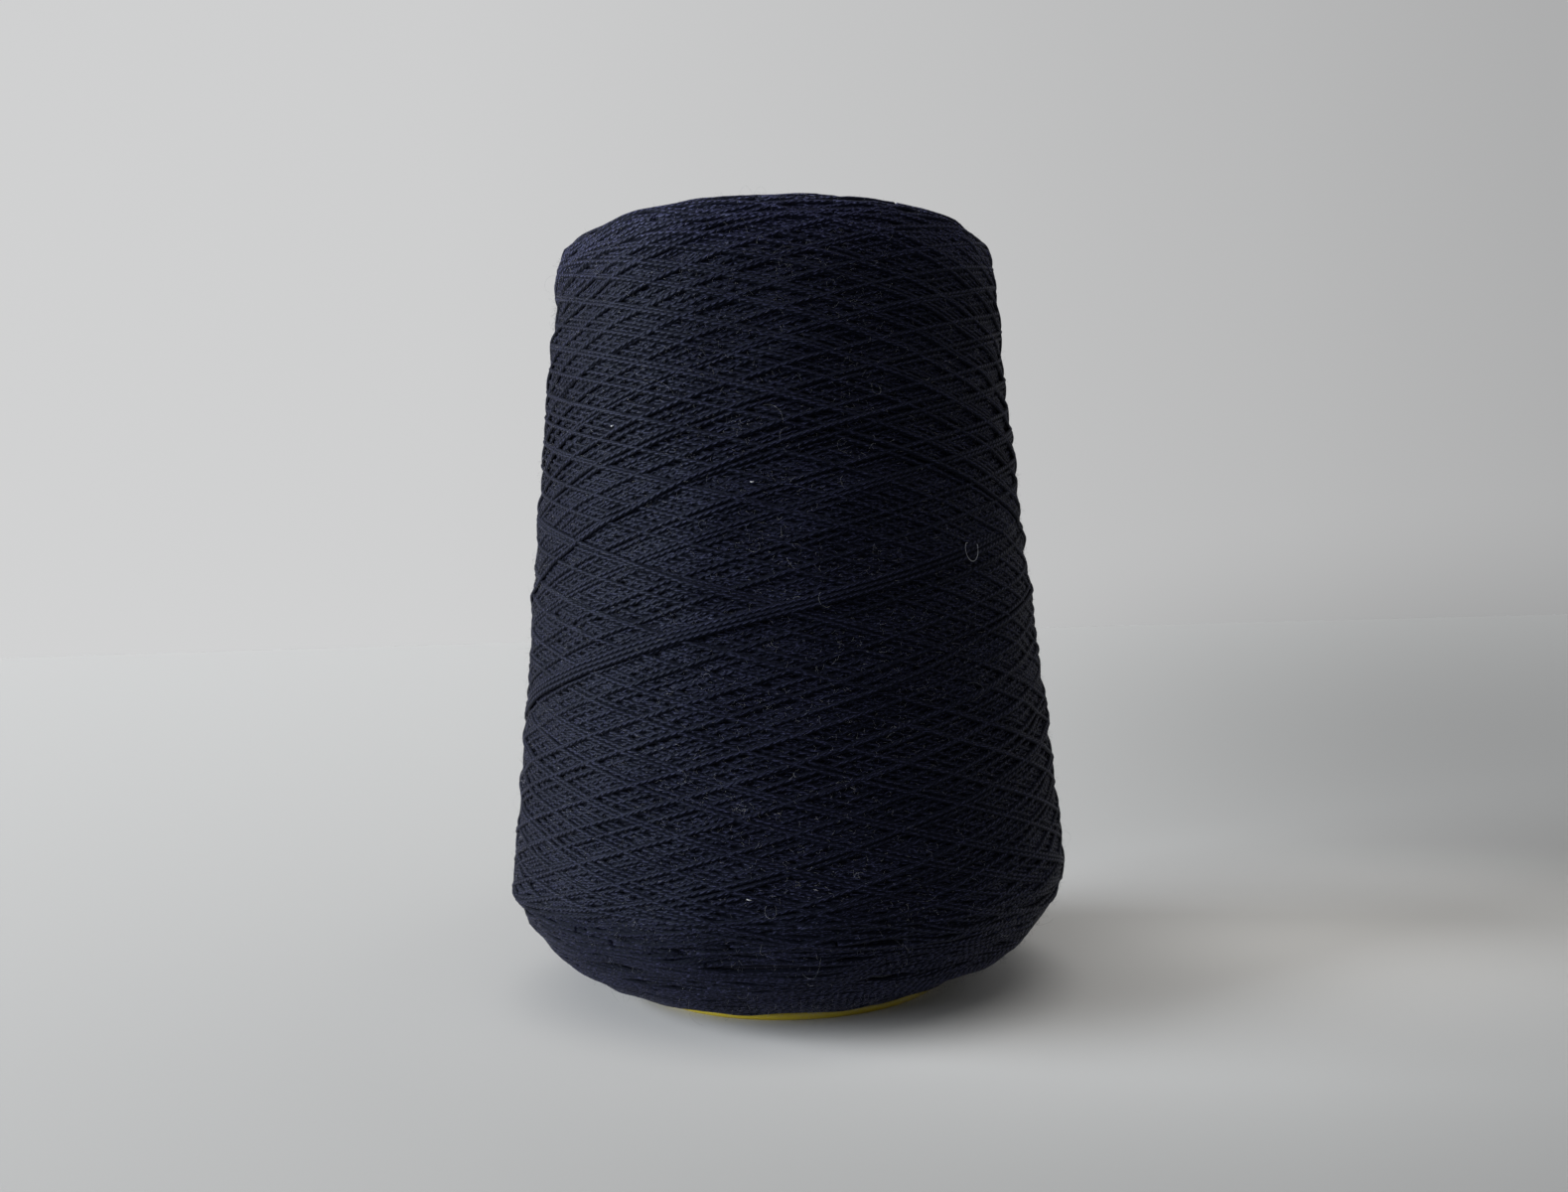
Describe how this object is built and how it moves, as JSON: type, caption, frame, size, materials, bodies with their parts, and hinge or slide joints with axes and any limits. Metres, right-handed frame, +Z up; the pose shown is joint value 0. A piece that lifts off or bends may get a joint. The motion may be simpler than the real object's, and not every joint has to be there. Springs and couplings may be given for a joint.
{
  "type": "cone of yarn",
  "caption": "Tapered, cross-wound package of thick two-ply yarn on a moulded plastic cone with an open nose and a rounded foot bead.",
  "frame": {"origin": "centre of the cone's foot, on the surface that it stands on", "axes": "+Z up along the cone's axis from foot to nose, +Y towards the notch in the foot bead"},
  "size_m": [0.1252, 0.1252, 0.172],
  "materials": {
    "cone_plastic": "moulded polypropylene, slightly glossy, yellow",
    "yarn": "two-ply yarn, dark navy, matte with fine loose fibres"
  },
  "bodies": {
    "root": {"cone": "cone_plastic", "starting_tail": "yarn", "yarn_package": "yarn", "outer_wraps": "yarn"}
  },
  "joints": []
}
